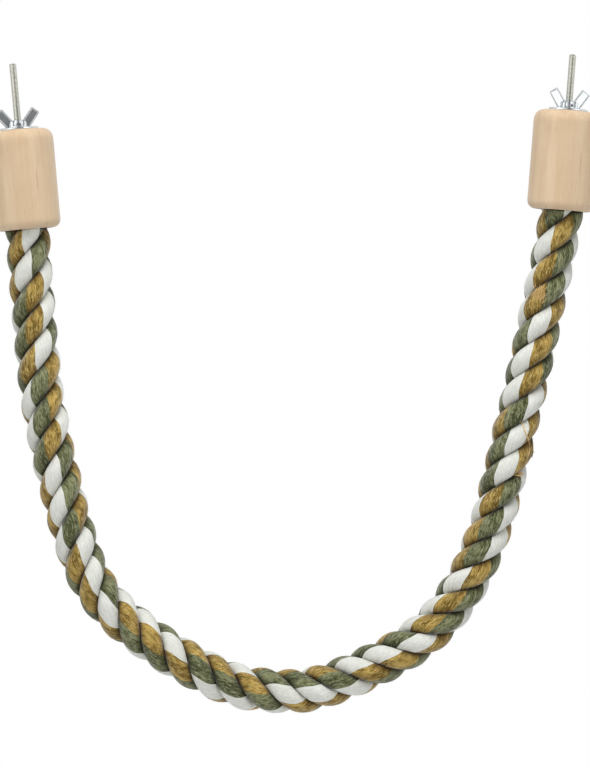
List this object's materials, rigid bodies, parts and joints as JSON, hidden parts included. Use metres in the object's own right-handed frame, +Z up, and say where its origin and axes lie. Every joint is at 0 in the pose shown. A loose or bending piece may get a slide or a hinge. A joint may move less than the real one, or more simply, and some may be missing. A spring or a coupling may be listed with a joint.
{
  "type": "bird perch",
  "caption": "Thick twisted rope that hangs in a U between round wooden end blocks, each with a threaded stud, a wide washer and a wing nut that clamp it to the wires of a bird cage.",
  "frame": {"origin": "centre of the left block's clamping face, on the axis of its stud", "axes": "+X from the left end block to the right one, +Y away from the viewer, +Z up, against the way the rope hangs"},
  "size_m": [0.3389, 0.0376, 0.3617],
  "materials": {
    "wood": "sanded raw hardwood with fine grain along the block",
    "stud_steel": "plated steel thread",
    "zinc_plate": "bright zinc plate, faintly blue",
    "rope_cotton": "matte twisted cotton in white, mustard and grey-green yarns"
  },
  "bodies": {
    "perch": {"left_block": "wood", "right_block": "wood", "left_stud": "stud_steel", "right_stud": "stud_steel", "rope": "rope_cotton"},
    "left_washer_body": {"left_washer": "zinc_plate"},
    "left_nut_body": {"left_wing_nut": "zinc_plate"},
    "right_washer_body": {"right_washer": "zinc_plate"},
    "right_nut_body": {"right_wing_nut": "zinc_plate"}
  },
  "joints": [
    {"name": "left_washer_slide", "type": "slide", "parent": "perch", "child": "left_washer_body", "axis": [-0.0872, 0, 0.9962], "range_m": [0, 0.03045]},
    {"name": "left_nut_turn", "type": "hinge", "parent": "left_washer_body", "child": "left_nut_body", "pos_m": [0, 0, 0], "axis": [-0.0872, 0, 0.9962], "range_deg": [0, 15660]},
    {"name": "right_washer_slide", "type": "slide", "parent": "perch", "child": "right_washer_body", "axis": [0.0785, 0, 0.9969], "range_m": [0, 0.02485]},
    {"name": "right_nut_turn", "type": "hinge", "parent": "right_washer_body", "child": "right_nut_body", "pos_m": [0.3025, 0, 0.0105], "axis": [0.0785, 0, 0.9969], "range_deg": [0, 12780]}
  ],
  "couplings": [
    {"joint": "left_washer_slide", "follows": "left_nut_turn", "m_per_rad": 0.00011141},
    {"joint": "right_washer_slide", "follows": "right_nut_turn", "m_per_rad": 0.00011141}
  ]
}
